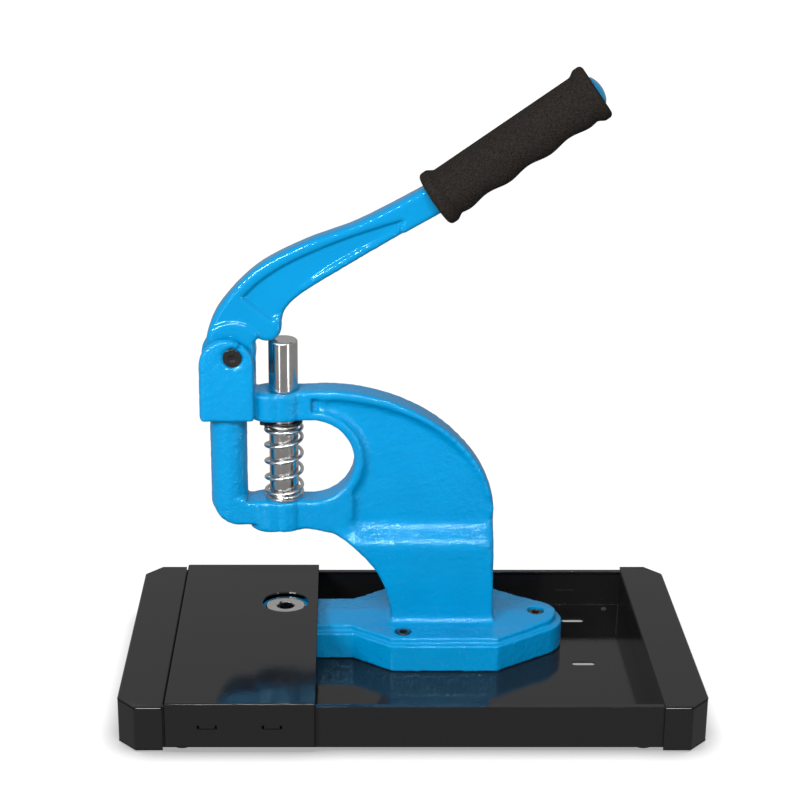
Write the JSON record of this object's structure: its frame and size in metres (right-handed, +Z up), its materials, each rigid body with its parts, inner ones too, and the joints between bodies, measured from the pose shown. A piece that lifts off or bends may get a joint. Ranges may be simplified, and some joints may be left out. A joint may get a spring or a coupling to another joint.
{
  "type": "hand lever die press",
  "caption": "Bench press with a cast frame and a hand lever that drives a sprung plunger onto a die seat, bolted in a folded sheet tray with end caps and a cover plate.",
  "frame": {"origin": "on the table, under the middle of the tray", "axes": "+X towards the free end of the handle, along the tray; +Y to the back, across the tray; +Z up, along the plunger"},
  "size_m": [0.38, 0.215, 0.4128],
  "materials": {
    "tray_sheet": "gloss black paint on folded steel sheet",
    "foot_rubber": "matte",
    "blue_casting": "gloss blue paint over a rough casting",
    "blue_lever": "smooth gloss blue paint",
    "black_oxide": "black oxide, oiled",
    "zinc_steel": "zinc plated",
    "bright_steel": "ground and polished",
    "spring_steel": "bright wire",
    "foam": "matte black foam"
  },
  "bodies": {
    "frame": {"tray_pan": "tray_sheet", "left_end_cap": "tray_sheet", "right_end_cap": "tray_sheet", "rubber_feet": "foot_rubber", "die_cover_plate": "tray_sheet", "press_frame": "blue_casting", "base_screws": "black_oxide", "base_washers": "black_oxide", "base_rivet_nuts": "zinc_steel", "die_seat": "bright_steel", "die_seat_screw": "black_oxide", "return_spring": "spring_steel", "spring_washer_lower": "zinc_steel", "pivot_bolt": "black_oxide", "pivot_washer": "zinc_steel", "pivot_nut": "zinc_steel"},
    "ram": {"plunger": "bright_steel", "plunger_circlip": "zinc_steel", "spring_washer_upper": "zinc_steel"},
    "lever": {"hand_lever": "blue_lever", "lever_grip": "foam"}
  },
  "joints": [
    {"name": "lever_swing", "type": "hinge", "parent": "frame", "child": "lever", "pos_m": [-0.119, 0.043, 0.222], "axis": [0, 1, 0], "range_deg": [0, 50]},
    {"name": "plunger_slide", "type": "slide", "parent": "frame", "child": "ram", "axis": [0, 0, -1], "range_m": [0, 0.0241], "stiffness_N_per_m": 2000, "springref_m": -0.03, "deforming": ["return_spring"]}
  ],
  "couplings": [
    {"joint": "plunger_slide", "follows": "lever_swing", "m_per_rad": 0.02756}
  ]
}
